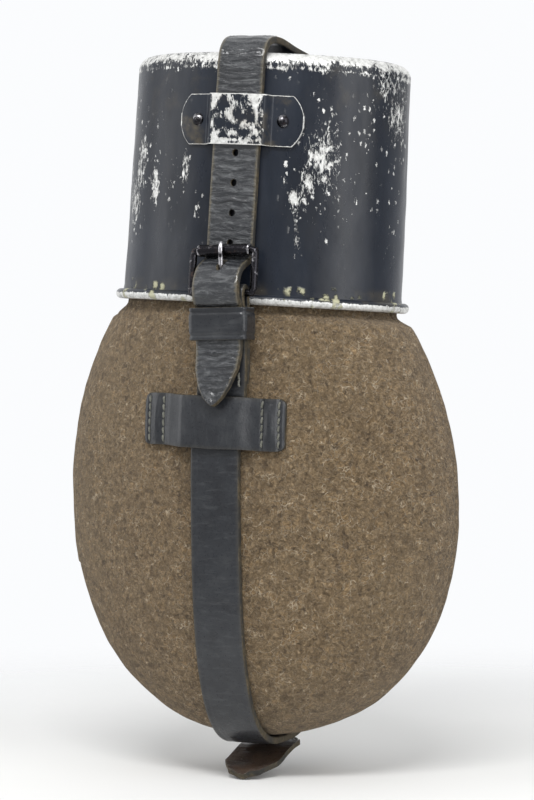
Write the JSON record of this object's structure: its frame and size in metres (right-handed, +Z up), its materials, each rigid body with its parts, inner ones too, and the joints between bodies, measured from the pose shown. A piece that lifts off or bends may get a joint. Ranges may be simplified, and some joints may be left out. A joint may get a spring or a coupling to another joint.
{
  "type": "field canteen",
  "caption": "Field canteen: felt-covered aluminium flask with an inverted oval cup over its neck, bound by a buckled leather strap, with a screw stopper and a belt hook.",
  "frame": {"origin": "under the middle of the whole object, level with the lowest point, which is the tip of the tongue under the flask", "axes": "+Z up along the neck, -Y the front with the buckle, +Y the back with the belt hook, +X to the right as seen from the front"},
  "size_m": [0.1478, 0.0992, 0.2618],
  "materials": {
    "felt": "brown wool felt, matte",
    "leather": "black dyed and waxed, satin, with undyed cut edges",
    "thread": "waxed thread",
    "cup_paint": "black enamel, satin, chipped to bare metal at the edges",
    "stopper_paint": "black enamel, satin",
    "bare_aluminium": "dull, spun",
    "buckle_steel": "darkened, polished where it rubs",
    "snap_steel": "dull",
    "seal": "matte"
  },
  "bodies": {
    "root": {"bottle_shell": "bare_aluminium", "neck_collar": "bare_aluminium", "cover_front": "felt", "cover_back": "felt", "cover_snap_caps": "snap_steel", "cover_snap_studs": "snap_steel", "front_loop": "leather", "front_loop_stitches": "thread", "rear_loop": "leather", "rear_loop_stitches": "thread", "strap_lower": "leather", "chape_stitches": "thread", "buckle_frame": "buckle_steel", "strap_tail": "leather", "hook_tab": "leather", "hook_tab_rivet": "snap_steel", "rear_tab_stitches": "thread"},
    "cup": {"cup_shell": "cup_paint", "cup_bracket": "cup_paint", "bracket_rivets": "cup_paint", "strap_upper": "leather"},
    "stopper_seal": {"stopper_gasket": "seal"},
    "stopper": {"stopper_cap": "stopper_paint"},
    "roller": {"buckle_roller": "buckle_steel"},
    "prong": {"buckle_prong": "buckle_steel"},
    "keeper": {"strap_keeper": "leather"},
    "hook": {"hook_body": "buckle_steel", "hook_gate_pin": "snap_steel", "hook_gate_spring": "snap_steel"},
    "gate": {"hook_gate": "buckle_steel"},
    "rear_tab": {"rear_tab": "leather"}
  },
  "joints": [
    {"name": "cup_lift", "type": "slide", "parent": "root", "child": "cup", "axis": [0.0715, 0, 0.9974], "range_m": [0, 0.07]},
    {"name": "stopper_lift", "type": "slide", "parent": "root", "child": "stopper_seal", "axis": [0, 0, 1], "range_m": [0, 0.02001]},
    {"name": "stopper_turn", "type": "hinge", "parent": "stopper_seal", "child": "stopper", "pos_m": [0.0009, 0.00055, 0.19336], "axis": [0, 0, 1], "range_deg": [0, 1800]},
    {"name": "roller_spin", "type": "hinge", "parent": "root", "child": "roller", "pos_m": [0.0039, -0.04005, 0.18536], "axis": [1, 0, 0], "continuous": true},
    {"name": "prong_swing", "type": "hinge", "parent": "root", "child": "prong", "pos_m": [0.0039, -0.04265, 0.17036], "axis": [1, 0, 0], "range_deg": [0, 12]},
    {"name": "keeper_slide", "type": "slide", "parent": "root", "child": "keeper", "axis": [0, 0, 1], "range_m": [-0.003, 0]},
    {"name": "hook_swing", "type": "hinge", "parent": "root", "child": "hook", "pos_m": [0.0009, 0.0458, 0.14136], "axis": [-1, 0, 0], "range_deg": [0, 150]},
    {"name": "gate_open", "type": "hinge", "parent": "hook", "child": "gate", "pos_m": [-0.0081, 0.0458, 0.15336], "axis": [0, 1, 0], "range_deg": [0, 35], "stiffness_Nm_per_rad": 0.01, "springref_deg": -22.92},
    {"name": "tongue_swing", "type": "hinge", "parent": "root", "child": "rear_tab", "pos_m": [0.0009, 0.00955, 0.00966], "axis": [1, 0, 0], "range_deg": [0, 60], "stiffness_Nm_per_rad": 0.02}
  ],
  "couplings": [
    {"joint": "stopper_lift", "follows": "stopper_turn", "m_per_rad": 0.00063662}
  ]
}
